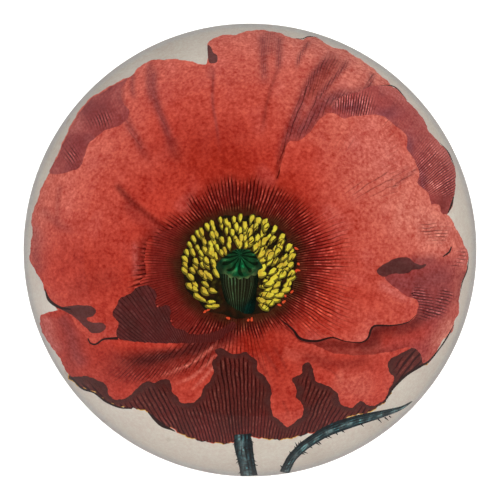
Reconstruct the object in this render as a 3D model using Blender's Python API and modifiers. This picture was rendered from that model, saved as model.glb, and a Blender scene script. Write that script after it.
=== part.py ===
"""A glass dome paperweight: a solid clear dome with a printed paper disc and a felt pad glued under its flat base.

Metres, +Z up. The origin is the centre of the felt's underside, which rests on the table.
"""

import math

import bpy

# Driving dimensions
DOME_DIAMETER = 0.089
TOTAL_HEIGHT = 0.038
FELT_THICKNESS = 0.0015
FELT_DIAMETER = 0.0862
FELT_EDGE_ROUND = 0.0004
PAPER_THICKNESS = 0.0002
PAPER_DIAMETER = 0.0868
GLUE_GAP = 0.0003  # stands for each clear glue line
RIM_ROUND = 0.0010  # small round where the dome's side meets its ground base

# How finely the turned shapes are divided
TURN_STEPS = 72
DOME_ARC_STEPS = 20
RIM_ARC_STEPS = 4  # over the quarter turn from the rim's widest point to the base
FELT_ARC_STEPS = 2
MERGE_DISTANCE = 0.00001
SHARP_ANGLE = math.radians(40)

# Heights above the table
PAPER_BASE = FELT_THICKNESS + GLUE_GAP
GLASS_BASE = PAPER_BASE + PAPER_THICKNESS + GLUE_GAP
GLASS_HEIGHT = TOTAL_HEIGHT - GLASS_BASE


def clear_scene():
    for obj in list(bpy.data.objects):
        bpy.data.objects.remove(obj, do_unlink=True)


def make_collection(name):
    collection = bpy.data.collections.new(name)
    bpy.context.scene.collection.children.link(collection)
    return collection


def make_material(name, colour, roughness, metallic=0.0, transmission=0.0):
    material = bpy.data.materials.new(name)
    material.use_nodes = True
    shader = material.node_tree.nodes["Principled BSDF"]
    shader.inputs["Base Color"].default_value = (*colour, 1.0)
    shader.inputs["Roughness"].default_value = roughness
    shader.inputs["Metallic"].default_value = metallic
    shader.inputs["Transmission Weight"].default_value = transmission
    material.diffuse_color = (*colour, 1.0)
    return material


def arc(centre_x, centre_z, radius, start, end, steps):
    """Points on an arc in the XZ plane. Angles are measured from +X towards +Z, and both ends are included."""
    angles = [start + (end - start) * i / steps for i in range(steps + 1)]
    return [(centre_x + radius * math.cos(a), centre_z + radius * math.sin(a)) for a in angles]


def dome_profile():
    """From the crown down the spherical side, round the rim and back along the flat base to the axis.

    The rim round is tangent to the base and touches the sphere from inside, and its outermost point is at the
    dome's full radius.
    """
    rim_x = DOME_DIAMETER / 2 - RIM_ROUND
    # The sphere passes through the crown (0, h) and holds the rim circle at (rim_x, RIM_ROUND) inside it.
    rise = GLASS_HEIGHT - RIM_ROUND
    sphere = (rim_x**2 + rise**2 - RIM_ROUND**2) / (2 * (rise - RIM_ROUND))
    centre_z = GLASS_HEIGHT - sphere
    meet = math.atan2(RIM_ROUND - centre_z, rim_x)
    side = arc(0.0, centre_z, sphere, math.pi / 2, meet, DOME_ARC_STEPS)
    rim = arc(rim_x, RIM_ROUND, RIM_ROUND, 0.0, -math.pi / 2, RIM_ARC_STEPS)
    return [(0.0, GLASS_HEIGHT)] + side[1:] + rim + [(0.0, 0.0)]


def paper_profile():
    radius = PAPER_DIAMETER / 2
    return [(0.0, PAPER_THICKNESS), (radius, PAPER_THICKNESS), (radius, 0.0), (0.0, 0.0)]


def felt_profile():
    edge = FELT_DIAMETER / 2 - FELT_EDGE_ROUND
    top = FELT_THICKNESS - FELT_EDGE_ROUND
    upper = arc(edge, top, FELT_EDGE_ROUND, math.pi / 2, 0.0, FELT_ARC_STEPS)
    lower = arc(edge, FELT_EDGE_ROUND, FELT_EDGE_ROUND, 0.0, -math.pi / 2, FELT_ARC_STEPS)
    return [(0.0, FELT_THICKNESS)] + upper + lower + [(0.0, 0.0)]


def turned(name, profile, height, material, collection, parent):
    """One closed body, made by turning a half profile about Z and set at a height above the table."""
    mesh = bpy.data.meshes.new(name)
    points = [(x, 0.0, z) for x, z in profile]
    edges = [(i, i + 1) for i in range(len(points) - 1)]
    mesh.from_pydata(points, edges, [])
    mesh.materials.append(material)
    obj = bpy.data.objects.new(name, mesh)
    collection.objects.link(obj)
    obj.parent = parent
    obj.location = (0.0, 0.0, height)
    screw = obj.modifiers.new("Turn", "SCREW")
    screw.axis = "Z"
    screw.angle = math.tau
    screw.steps = TURN_STEPS
    screw.render_steps = TURN_STEPS
    screw.use_merge_vertices = True
    screw.merge_threshold = MERGE_DISTANCE
    return obj


def shade(obj):
    """Turns the screw into mesh and shades it smooth, with the base's edge kept sharp."""
    evaluated = obj.evaluated_get(bpy.context.evaluated_depsgraph_get())
    mesh = bpy.data.meshes.new_from_object(evaluated)
    mesh.name = obj.name
    old = obj.data
    obj.modifiers.clear()
    obj.data = mesh
    bpy.data.meshes.remove(old)
    mesh.shade_smooth()
    mesh.set_sharp_from_angle(angle=SHARP_ANGLE)


def build():
    clear_scene()
    collection = make_collection("glass_dome_paperweight")
    stand = bpy.data.objects.new("paperweight", None)
    collection.objects.link(stand)

    glass = make_material("clear_glass", (0.97, 0.98, 0.98), 0.02, transmission=1.0)
    paper = make_material("printed_paper", (0.62, 0.16, 0.11), 0.6)
    felt = make_material("felt", (0.05, 0.11, 0.07), 0.95)

    pieces = [
        turned("glass_dome", dome_profile(), GLASS_BASE, glass, collection, stand),
        turned("poppy_print", paper_profile(), PAPER_BASE, paper, collection, stand),
        turned("felt_pad", felt_profile(), 0.0, felt, collection, stand),
    ]
    bpy.context.view_layer.update()
    for piece in pieces:
        shade(piece)


build()
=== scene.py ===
"""A glass dome paperweight over a botanical poppy print: its finished look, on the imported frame."""

import math

import bpy
import numpy as np
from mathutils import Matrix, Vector, geometry


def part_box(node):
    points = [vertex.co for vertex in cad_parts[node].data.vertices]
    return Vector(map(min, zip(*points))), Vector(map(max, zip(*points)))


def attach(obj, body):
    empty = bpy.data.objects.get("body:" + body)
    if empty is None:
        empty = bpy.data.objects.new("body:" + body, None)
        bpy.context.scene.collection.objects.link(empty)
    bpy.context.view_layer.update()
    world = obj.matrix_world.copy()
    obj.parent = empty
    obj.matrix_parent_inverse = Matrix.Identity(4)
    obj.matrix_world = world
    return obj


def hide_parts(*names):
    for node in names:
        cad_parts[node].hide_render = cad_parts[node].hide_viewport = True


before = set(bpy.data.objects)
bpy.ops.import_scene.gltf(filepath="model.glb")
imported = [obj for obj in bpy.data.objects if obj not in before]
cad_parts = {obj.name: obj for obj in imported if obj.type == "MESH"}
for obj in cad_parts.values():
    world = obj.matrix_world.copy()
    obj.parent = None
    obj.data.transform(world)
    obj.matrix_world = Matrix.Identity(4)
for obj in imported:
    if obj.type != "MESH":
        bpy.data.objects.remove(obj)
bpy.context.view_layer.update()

# ------------------------------------------------------------------ sizes, from the frame
GLASS_LOW, GLASS_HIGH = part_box("glass_dome")
PAPER_LOW, PAPER_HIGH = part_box("poppy_print")
FELT_LOW, FELT_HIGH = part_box("felt_pad")
DOME_RADIUS = (GLASS_HIGH.x - GLASS_LOW.x) / 2
PAPER_RADIUS = (PAPER_HIGH.x - PAPER_LOW.x) / 2
FELT_RADIUS = (FELT_HIGH.x - FELT_LOW.x) / 2
DOME_TOP = GLASS_HIGH.z
GLUE = GLASS_LOW.z - PAPER_HIGH.z  # each clear glue line, which the finished pieces fill
GLASS_BASE = GLASS_LOW.z - GLUE  # the glass comes down onto the paper
WETTING = 0.00002  # how far the print's face sits inside the glass, as glue joins them with no air between
PRINT_FACE = GLASS_BASE + WETTING
RIM_ROUND = 0.0010
GLASS_INDEX = 1.50

CAMERA_HEIGHT = 0.90
FRAME_FILL = 0.907  # share of the picture's width that the dome takes
SENSOR = 36.0
SKY = 1.90  # brightness of the soft light all round
ROOM_LOW, ROOM_HIGH = 0.12, 0.03  # what polished glass mirrors, near the horizon and straight above
FLOOR_GLOW = 0.45
BAND_START, BAND_END = 0.0008, 0.0020  # past the dome, where the mirrored table turns from white to dim
BAND_WHITE = 0.8
PAGE_EDGE = 1.0005  # how far out the page reaches in the picture, just past the dome's outline
SHAPE_EDGE = 0.9995  # and how far out the shapes on it may reach
MM = 1000  # the sheet is cut in millimetres


# ------------------------------------------------------------------ the dome's shape and what the eye sees
def dome_sphere():
    """Radius and centre height of the sphere that the dome's side follows."""
    rim_x = DOME_RADIUS - RIM_ROUND
    rise = DOME_TOP - GLASS_BASE - RIM_ROUND
    radius = (rim_x**2 + rise**2 - RIM_ROUND**2) / (2 * (rise - RIM_ROUND))
    return radius, DOME_TOP - radius


SPHERE_RADIUS, SPHERE_Z = dome_sphere()


def lens_table(samples=4000):
    """How far out each point of the dome looks from the camera, as a tangent, and where its ray lands.

    A ray from the camera meets the sphere, bends by Snell's law and runs straight to the print.
    """
    lean = np.linspace(0.0, math.pi / 2, samples)
    x = SPHERE_RADIUS * np.sin(lean)
    z = SPHERE_Z + SPHERE_RADIUS * np.cos(lean)
    keep = (x < DOME_RADIUS) & (z > GLASS_BASE + RIM_ROUND)
    lean, x, z = lean[keep], x[keep], z[keep]
    normal = np.stack([np.sin(lean), np.cos(lean)], 1)
    ray = np.stack([x, z - CAMERA_HEIGHT], 1)
    ray /= np.linalg.norm(ray, axis=1, keepdims=True)
    cos_in = -(ray * normal).sum(1)
    seen = cos_in > 0
    ratio = 1 / GLASS_INDEX
    cos_out = np.sqrt(1 - ratio**2 * (1 - cos_in**2))
    inside = ratio * ray + (ratio * cos_in - cos_out)[:, None] * normal
    landing = x + inside[:, 0] / -inside[:, 1] * (z - PRINT_FACE)
    looks = x / (CAMERA_HEIGHT - z)
    return looks[seen], landing[seen]


LOOKS, LANDING = lens_table()
OUTLINE_TANGENT = float(LOOKS.max())
SEEN = np.append(LOOKS / OUTLINE_TANGENT, PAGE_EDGE)
LANDS = np.append(LANDING, PAPER_RADIUS)


def to_paper(points):
    """Maps points of the picture as it looks through the dome, whose outline has radius 1, to the paper."""
    points = np.asarray(points, float)
    far = np.hypot(points[:, 0], points[:, 1])
    return points * (np.interp(far, SEEN, LANDS) / np.maximum(far, 1e-9))[:, None]


def to_view(points):
    """The reverse of to_paper."""
    far = np.hypot(points[:, 0], points[:, 1])
    return points * (np.interp(far, LANDS, SEEN) / np.maximum(far, 1e-9))[:, None]


# ------------------------------------------------------------------ drawing tools
HEART = np.array([-0.05, -0.072])  # middle of the flower
HEART_WIDE, HEART_TALL = 0.245, 0.220  # half sizes of the ring of stamens
LINE_STEP = 0.006  # spacing of an outline's points
FACE_STEP = 0.0078  # spacing of the points between outlines
rng = np.random.default_rng(7)


def linear(*rgb):
    """A colour given as it looks, 0 to 255, as the linear values that a shader takes."""
    c = np.array(rgb, float) / 255
    return np.where(c <= 0.04045, c / 12.92, ((c + 0.055) / 1.055) ** 2.4)


def smooth(low, high, value):
    t = np.clip((value - low) / (high - low), 0, 1)
    return t * t * (3 - 2 * t)


def spaced(points, step=LINE_STEP):
    """Points at an even spacing along a polyline."""
    length = np.append(0, np.cumsum(np.linalg.norm(np.diff(points, axis=0), axis=1)))
    at = np.linspace(0, length[-1], max(int(round(length[-1] / step)), 2) + 1)
    return np.stack([np.interp(at, length, points[:, k]) for k in (0, 1)], 1)


def curve(points, closed=False, step=LINE_STEP):
    """A smooth line through the points (Catmull-Rom), at an even spacing."""
    p = np.asarray(points, float)
    if closed:
        p = np.vstack([p[-1], p, p[0], p[1]])
    else:
        p = np.vstack([2 * p[0] - p[1], p, 2 * p[-1] - p[-2]])
    t = np.linspace(0, 1, 24, endpoint=False)[:, None]
    runs = []
    for a, b, c, d in zip(p, p[1:], p[2:], p[3:]):
        runs.append(0.5 * (2 * b + (c - a) * t + (2 * a - 5 * b + 4 * c - d) * t**2
                           + (3 * b - 3 * c + d - a) * t**3))
    runs.append(p[-2][None])
    line = spaced(np.vstack(runs), step)
    return line[:-1] if closed else line


def normals(line):
    along = np.gradient(line, axis=0)
    along /= np.maximum(np.linalg.norm(along, axis=1, keepdims=True), 1e-9)
    return np.stack([along[:, 1], -along[:, 0]], 1)


def outline(points, ragged=0.004, lobe=0.09):
    """A closed outline through a few points, its edge cut into small irregular lobes."""
    line = curve(points, closed=True)
    at = np.arange(len(line)) * LINE_STEP
    total = len(line) * LINE_STEP
    wave = np.zeros(len(line))
    for size, share in ((lobe, 1.0), (lobe * 0.47, 0.6), (lobe * 0.21, 0.35)):
        turns = max(round(total / size), 1)
        wave += share * np.sin(math.tau * turns * at / total + rng.uniform(0, math.tau)
                               + 0.8 * np.sin(math.tau * at / total * 3 + rng.uniform(0, math.tau)))
    return line + normals(line) * (ragged * wave)[:, None]


def signed_area(shape):
    return np.sum(shape[:, 0] * np.roll(shape[:, 1], -1) - shape[:, 1] * np.roll(shape[:, 0], -1)) / 2


def grown(shape, amount):
    """The outline moved outwards by the amount."""
    return shape + normals(shape) * amount * np.sign(signed_area(shape))


def ribbon(points, widths, step=0.012):
    """A closed band along a smooth line, as wide as widths say from its start to its end."""
    line = curve(points, step=step)
    half = np.interp(np.linspace(0, 1, len(line)), np.linspace(0, 1, len(widths)), widths) / 2
    side = normals(line) * half[:, None]
    return np.vstack([line + side, (line - side)[::-1]])


def drop(centre, along, length, width, points=12, uneven=0.10):
    """A small drop shape, blunt at its outer end and a little uneven."""
    a = np.linspace(0, math.tau, points, endpoint=False)
    along = np.asarray(along) / np.linalg.norm(along)
    across = np.array([along[1], -along[0]])
    swell = 1 + rng.uniform(-uneven, uneven, points)
    reach = np.cos(a) * swell * length / 2
    side = np.sin(a) * (0.74 + 0.26 * np.cos(a)) * swell * width / 2
    return centre + np.outer(reach, along) + np.outer(side, across)


def near(points, path):
    """Each point's distance from a polyline, how far along it that is (0 to 1) and on which side."""
    best = np.full(len(points), 1e9)
    along = np.zeros(len(points))
    side = np.zeros(len(points))
    length = np.append(0, np.cumsum(np.linalg.norm(np.diff(path, axis=0), axis=1)))
    for i, (a, b) in enumerate(zip(path, path[1:])):
        run = b - a
        size = max(float(run @ run), 1e-12)
        t = np.clip((points - a) @ run / size, 0, 1)
        off = points - a - t[:, None] * run
        dist = np.hypot(off[:, 0], off[:, 1])
        closer = dist < best
        best[closer] = dist[closer]
        along[closer] = (length[i] + t * math.sqrt(size))[closer] / length[-1]
        side[closer] = np.sign(run[0] * off[:, 1] - run[1] * off[:, 0])[closer]
    return best, along, side


def clouds(points, size, seed):
    """Soft irregular patches from -1 to 1, by a few crossing waves."""
    draw = np.random.default_rng(seed)
    total = np.zeros(len(points))
    for _ in range(14):
        turn = draw.uniform(0, math.tau)
        wave = math.tau / (size * draw.uniform(0.6, 1.7))
        total += np.sin(wave * (points @ (math.cos(turn), math.sin(turn))) + draw.uniform(0, math.tau))
    return np.clip(total / 5.5, -1, 1)


# ------------------------------------------------------------------ colours of the print
CREAM = linear(206, 197, 184)
PALE_CREAM = linear(214, 206, 198)
SHADED_CREAM = linear(176, 170, 160)
STAINED_CREAM = linear(160, 146, 128)
# Painted reflection: the grey that the dome's rim shows, laid on the page's edge.
RIM_REFLECTION_GREY = linear(184, 187, 188)
SALMON = linear(200, 98, 82)
PALE_SALMON = linear(206, 118, 102)
RED = linear(180, 58, 43)
DEEP_RED = linear(150, 36, 22)
DARK_RED = linear(124, 34, 27)
CRIMSON = linear(112, 24, 34)
VALLEY_RED = linear(148, 52, 50)
PINK = linear(198, 102, 93)
MAUVE = linear(126, 54, 54)
LEFT_MAUVE = linear(132, 46, 46)
RIGHT_MAUVE = linear(160, 66, 62)
PURPLE = linear(112, 54, 66)
MAROON = linear(108, 28, 22)
THROAT_RED = linear(122, 40, 32)
UMBER = linear(54, 26, 12)
FOLD = linear(84, 28, 24)
UNDERSIDE = linear(80, 32, 26)
UNDERSIDE_RED = linear(94, 34, 28)
UNDERSIDE_CRIMSON = linear(108, 36, 34)
BLOT_BROWN = linear(94, 48, 46)
HOLLOW_BROWN = linear(86, 36, 34)
SHADE = linear(66, 32, 28)
BLACK = linear(24, 18, 8)
INK = linear(40, 20, 18)
YELLOW = linear(208, 188, 56)
GOLD = linear(186, 150, 52)
OLIVE = linear(104, 92, 30)
GREEN = linear(22, 64, 34)
DARK_GREEN = linear(10, 34, 20)
PALE_GREEN = linear(92, 104, 62)
RIB_GREEN = linear(56, 66, 42)
CAP_GREEN = linear(4, 80, 44)
FOOT_GREEN = linear(10, 62, 52)
TEAL = linear(40, 58, 62)
DARK_TEAL = linear(14, 20, 24)
PALE_TEAL = linear(120, 148, 148)
ORANGE = linear(200, 72, 40)
EDGE_YELLOW = linear(212, 158, 60)

# These five are multiplied into the colour under them.
LINE_DEPTH = (0.24, 0.17, 0.17, 1)
GRAIN_DEPTH = (0.68, 0.30, 0.26, 1)
GRAIN_LIGHT = (1.36, 1.80, 1.80, 1)
GLINT_LIGHT = (2.8, 4.8, 4.8, 1)
FIBRE_DEPTH = (0.55, 0.52, 0.48, 1)

# These are shown as they are.
FOXING_BROWN = (0.30, 0.20, 0.12, 1)
FELT_DARK, FELT_PALE = (0.008, 0.024, 0.014, 1), (0.042, 0.105, 0.062, 1)
TABLE_DIM, TABLE_WHITE = (0.93, 0.93, 0.93, 1), (0.96, 0.96, 0.96, 1)

HEART_LINES = 140  # engraved lines to a full turn round the heart
RIGHT_LINES = 176
RIB_LINES = 288
RIB_HUB = (0.0, -1.41)  # where the ribs of the petals' backs would meet, down along the stem
BLOT_HUB = (-0.20, -0.62)


class Sheet:
    """The mesh's points as they look through the dome, with what several washes need worked out once."""

    def __init__(self, points):
        self.at = points
        off = points - HEART
        self.far = np.hypot(off[:, 0], off[:, 1])
        self.turn = np.arctan2(off[:, 1], off[:, 0])
        self.oval = np.hypot(off[:, 0] / HEART_WIDE, off[:, 1] / HEART_TALL)
        self.out = np.hypot(points[:, 0], points[:, 1])
        bend = 0.10 * np.sin(3 * self.turn + 1.0) * (self.far - 0.25)
        self.bent = self.turn + bend + 0.012 * clouds(points, 0.25, 91)

    def facing(self, degrees, spread):
        """1 in the direction seen from the heart, falling to 0 at the spread."""
        gap = np.angle(np.exp(1j * (self.turn - math.radians(degrees))))
        return 1 - smooth(0, 1, np.abs(gap) / math.radians(spread))


class Wash:
    """A layer's paint: for every point of the sheet a colour and how much engraved line and grain it has.

    The lines fan out from the heart, unless rule sets another fan. Beyond each distance in doubled there are
    twice as many.
    """

    def __init__(self, sheet, colour, grain=1.0):
        self.sheet = sheet
        self.colour = np.tile(np.asarray(colour, float), (len(sheet.at), 1))
        self.ink = np.zeros(len(sheet.at))
        self.grain = np.full(len(sheet.at), grain)
        self.turn = sheet.bent
        self.count = HEART_LINES
        self.doubled = (0.50, 0.85)

    def rule(self, turn, count, doubled=()):
        self.turn = turn
        self.count = count
        self.doubled = doubled
        return self

    def fan(self, hub, count):
        off = self.sheet.at - hub
        return self.rule(np.arctan2(off[:, 1], off[:, 0]) + 0.003 * clouds(self.sheet.at, 0.15, 93), count)

    def tint(self, colour, amount):
        amount = np.clip(amount, 0, 1)[:, None]
        self.colour = self.colour * (1 - amount) + np.asarray(colour) * amount
        return self

    def draw(self, amount):
        """Adds engraved line where there is less of it than the amount."""
        self.ink = np.maximum(self.ink, amount)
        return self

    def stroke(self, colour, points, width, strength, ink=0.0, fade=(0.15, 0.35)):
        """A soft brush stroke along a curve, which fades in and out over two shares of its length."""
        dist, along, _ = near(self.sheet.at, curve(points, step=0.03))
        swell = smooth(0, fade[0], along + 1e-6) * (1 - smooth(1 - fade[1], 1, along))
        amount = np.exp(-((dist / width) ** 2)) * swell
        self.tint(colour, amount * strength)
        return self.draw(amount * ink)

    def dabs(self, table):
        """Broad soft patches of colour: each one's colour, middle, half width, half height and strength."""
        for colour, middle, wide, tall, strength in table:
            off = (self.sheet.at - middle) / (wide, tall)
            self.tint(colour, strength * np.exp(-(off**2).sum(1)))
        return self

    def strokes(self, table):
        for row in table:
            self.stroke(*row)
        return self


def petal_wash(sheet):
    """The lit face of the petals: deep red round the heart and salmon outwards."""
    wash = Wash(sheet, RED)
    wash.tint(SALMON, smooth(0.40, 0.92, sheet.far) * 0.88 + 0.14 * clouds(sheet.at, 0.3, 3))
    wash.tint(DEEP_RED, 0.85 * (1 - smooth(0.24, 0.60, sheet.far)) + 0.14 * clouds(sheet.at, 0.22, 5))
    wash.tint(PINK, 0.32 * smooth(0.1, 1, clouds(sheet.at, 0.16, 8)))
    return wash


def heart_shadow(sheet, wash):
    """The dark throat: a maroon ring with fine lines that run out from it, longer on both sides."""
    ragged = 0.10 * clouds(np.stack([np.cos(sheet.turn), np.sin(sheet.turn)], 1), 0.35, 11)
    reach = 1.50 + ragged + 0.16 * sheet.facing(90, 60) + 0.34 * sheet.facing(195, 60)
    reach = reach + 0.14 * sheet.facing(60, 70) - 0.10 * sheet.facing(285, 40)
    wash.tint(MAROON, 0.96 * (1 - smooth(reach - 0.26, reach + 0.24, sheet.oval)))
    wash.tint(UMBER, 0.95 * (1 - smooth(1.04, 1.40, sheet.oval + 0.05 * clouds(sheet.at, 0.1, 13))))
    long_side = 0.70 * sheet.facing(0, 55) + 0.12 * sheet.facing(215, 60)
    edge = smooth(reach - 0.20, reach + 0.26 + long_side, sheet.oval)
    wash.draw(0.43 * (1 - edge) * smooth(0.98, 1.25, sheet.oval))
    return wash


def paint_paper(sheet):
    wash = Wash(sheet, CREAM, grain=0.16)
    wash.tint(SHADED_CREAM, 0.55 * sheet.facing(120, 90) * smooth(0.5, 1, sheet.out))
    wash.tint(PALE_CREAM, 0.5 * sheet.facing(200, 50))
    wash.tint(STAINED_CREAM, 0.12 * smooth(0, 1, clouds(sheet.at, 0.3, 21)))
    # Painted reflection of the dome's rim: a thin grey band along the page's outermost edge.
    wash.tint(RIM_REFLECTION_GREY, 0.5 * smooth(0.970, 0.992, sheet.out))
    return wash


BACK_STROKES = (
    (MAUVE, [(-0.42, 0.83), (-0.426, 0.72), (-0.41, 0.64), (-0.365, 0.52), (-0.33, 0.39)], 0.020, 0.75,
     0.16),
    (MAUVE, [(-0.44, 0.84), (-0.45, 0.74), (-0.43, 0.62)], 0.016, 0.55, 0.16),
    (DARK_RED, [(-0.35, 0.50), (-0.325, 0.42), (-0.32, 0.37)], 0.030, 0.6, 0.1),
    (MAUVE, [(-0.515, 0.79), (-0.52, 0.71), (-0.50, 0.65)], 0.014, 0.6, 0.14),
    (MAUVE, [(-0.56, 0.76), (-0.572, 0.674), (-0.548, 0.583), (-0.50, 0.49), (-0.457, 0.41), (-0.40, 0.387)],
     0.020, 0.6, 0.18),
    (MAUVE, [(-0.157, 0.82), (-0.166, 0.665), (-0.144, 0.524), (-0.133, 0.387)], 0.007, 0.6, 0.0),
    (MAUVE, [(-0.175, 0.82), (-0.175, 0.74)], 0.018, 0.35, 0.1),
    (MAUVE, [(0.055, 0.965), (0.06, 0.85), (0.065, 0.70)], 0.022, 0.65, 0.2),
    (MAUVE, [(0.09, 0.975), (0.092, 0.90), (0.09, 0.84)], 0.040, 0.45, 0.2),
    (MAUVE, [(0.13, 0.955), (0.128, 0.85), (0.12, 0.76)], 0.017, 0.65, 0.2),
    (DARK_RED, [(0.13, 0.82), (0.095, 0.72), (0.067, 0.607), (0.05, 0.48)], 0.009, 0.6, 0.1),
    (MAUVE, [(0.27, 0.93), (0.222, 0.86), (0.20, 0.78)], 0.012, 0.65, 0.25),
    (MAUVE, [(0.38, 0.89), (0.336, 0.837), (0.279, 0.766), (0.244, 0.698), (0.211, 0.616), (0.176, 0.525),
             (0.1415, 0.444), (0.118, 0.34)], 0.022, 0.85, 0.32),
    (DARK_RED, [(0.40, 0.87), (0.33, 0.78), (0.27, 0.69), (0.24, 0.62)], 0.038, 0.75, 0.24),
    (MAUVE, [(0.445, 0.86), (0.407, 0.80), (0.349, 0.733), (0.303, 0.675), (0.268, 0.606), (0.234, 0.54)],
     0.015, 0.7, 0.3),
    (MAUVE, [(0.545, 0.79), (0.522, 0.722), (0.486, 0.675)], 0.014, 0.65, 0.3),
    (MAUVE, [(0.57, 0.70), (0.451, 0.672), (0.384, 0.676), (0.326, 0.64), (0.268, 0.572), (0.205, 0.500),
             (0.15, 0.43)], 0.042, 0.95, 0.24, (0.05, 0.25)),
    (MAROON, [(0.17, 0.50), (0.135, 0.40), (0.12, 0.30)], 0.014, 0.7, 0.3, (0.2, 0.1)),
    (DEEP_RED, [(-0.30, 0.42), (-0.14, 0.42), (0.0, 0.36)], 0.10, 0.6, 0.0, (0.2, 0.2)),
    (DEEP_RED, [(-0.08, 0.26), (0.02, 0.28), (0.10, 0.24)], 0.06, 0.5, 0.0, (0.2, 0.2)),
    (MAROON, [(-0.60, 0.30), (-0.536, 0.226), (-0.457, 0.158), (-0.365, 0.087), (-0.32, 0.05)], 0.015, 0.8,
     0.12, (0.1, 0.1)),
    (DARK_RED, [(-0.56, 0.22), (-0.48, 0.13), (-0.40, 0.06)], 0.03, 0.4, 0.0),
    (MAUVE, [(-0.836, 0.30), (-0.85, 0.18), (-0.845, 0.07)], 0.013, 0.35, 0.0),
    (MAUVE, [(-0.93, 0.19), (-0.84, 0.11), (-0.75, 0.07)], 0.020, 0.35, 0.0),
    (MAUVE, [(-0.945, 0.12), (-0.945, -0.02), (-0.92, -0.12)], 0.030, 0.42, 0.08, (0.2, 0.2)),
    (DEEP_RED, [(-0.90, 0.02), (-0.76, -0.04), (-0.62, -0.06)], 0.06, 0.35, 0.0),
    (DARK_RED, [(-0.82, -0.20), (-0.66, -0.13), (-0.52, -0.15)], 0.05, 0.35, 0.0),
    (DARK_RED, [(-0.38, 0.09), (-0.455, 0.04), (-0.47, -0.04), (-0.48, -0.14)], 0.040, 0.7, 0.0, (0.2, 0.2)),
    (PINK, [(-0.515, 0.05), (-0.505, -0.05), (-0.51, -0.13)], 0.014, 0.4, 0.0, (0.2, 0.2)),
)


BACK_DABS = (
    (RED, (-0.28, 0.56), 0.30, 0.26, 0.80),
    (DEEP_RED, (-0.18, 0.38), 0.26, 0.13, 0.60),
    (RED, (0.03, 0.66), 0.14, 0.26, 0.45),
    (SALMON, (0.02, 0.86), 0.14, 0.10, 0.40),
    (RED, (-0.84, -0.10), 0.24, 0.14, 0.95),
    (DEEP_RED, (-0.64, -0.30), 0.16, 0.10, 0.40),
    (DEEP_RED, (-0.58, -0.12), 0.20, 0.12, 0.60),
    (RED, (-0.46, 0.18), 0.20, 0.18, 0.50),
    (SALMON, (-0.86, 0.22), 0.14, 0.10, 0.50),
)
RIGHT_DABS = (
    (CRIMSON, (0.25, -0.02), 0.09, 0.15, 0.65),
    (RED, (0.22, 0.36), 0.14, 0.18, 0.60),
    (DEEP_RED, (0.14, 0.26), 0.08, 0.12, 0.50),
    (RED, (0.36, -0.24), 0.28, 0.12, 0.60),
    (RED, (0.72, -0.30), 0.18, 0.12, 0.60),
    (PALE_SALMON, (0.86, 0.06), 0.10, 0.10, 0.35),
    (PALE_SALMON, (0.62, 0.30), 0.20, 0.16, 0.30),
)
FRONT_DABS = (
    (DEEP_RED, (0.02, -0.42), 0.18, 0.12, 0.80),
    (DEEP_RED, (0.14, -0.54), 0.10, 0.16, 0.65),
    (RED, (0.38, -0.54), 0.28, 0.14, 0.75),
    (RED, (0.16, -0.70), 0.08, 0.10, 0.50),
    (RED, (-0.60, -0.52), 0.30, 0.14, 0.70),
    (DEEP_RED, (-0.40, -0.50), 0.20, 0.08, 0.50),
    (DEEP_RED, (-0.74, -0.42), 0.18, 0.13, 0.40),
)


def paint_back(sheet):
    wash = petal_wash(sheet).dabs(BACK_DABS)
    wash.tint(RED, 0.65 * sheet.facing(190, 50) * (1 - smooth(0.8, 1.0, sheet.out)))
    wash.tint(PALE_SALMON, 0.5 * smooth(0.80, 0.95, sheet.out) * sheet.facing(60, 40))
    return heart_shadow(sheet, wash.strokes(BACK_STROKES))


VALLEY_STROKES = (
    (MAUVE, [(0.58, -0.12), (0.68, -0.15), (0.80, -0.13), (0.94, -0.10)], 0.060, 0.75, 0.10, (0.05, 0.3)),
    (MAUVE, [(0.70, -0.04), (0.78, -0.05), (0.84, -0.02)], 0.026, 0.6, 0.0),
    (MAUVE, [(0.70, -0.19), (0.77, -0.23), (0.80, -0.32)], 0.055, 0.7, 0.42, (0.1, 0.2)),
    (MAUVE, [(0.88, -0.16), (0.84, -0.24), (0.80, -0.30)], 0.040, 0.45, 0.42, (0.2, 0.2)),
    (MAUVE, [(0.95, -0.08), (0.925, -0.18), (0.92, -0.26)], 0.020, 0.5, 0.0),
    (PINK, [(0.94, 0.02), (0.93, -0.05), (0.86, -0.08)], 0.025, 0.5, 0.3),
    (FOLD, [(0.46, -0.425), (0.53, -0.395), (0.57, -0.355), (0.66, -0.345), (0.745, -0.30), (0.77, -0.24)],
     0.042, 0.95, 0.0, (0.1, 0.3)),
    (MAROON, [(0.13, -0.33), (0.22, -0.41), (0.34, -0.415), (0.44, -0.42), (0.53, -0.40), (0.60, -0.36),
     (0.70, -0.335), (0.76, -0.28)], 0.034, 0.90, 0.0, (0.05, 0.1)),
    (DARK_RED, [(0.24, -0.43), (0.36, -0.455), (0.50, -0.46), (0.62, -0.44), (0.76, -0.41)], 0.020, 0.75,
     0.1),
    (RED, [(0.56, -0.41), (0.72, -0.38), (0.84, -0.33)], 0.035, 0.6, 0.0),
    (PALE_SALMON, [(0.90, -0.30), (0.85, -0.38), (0.80, -0.45)], 0.035, 0.7, 0.0),
)
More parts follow.
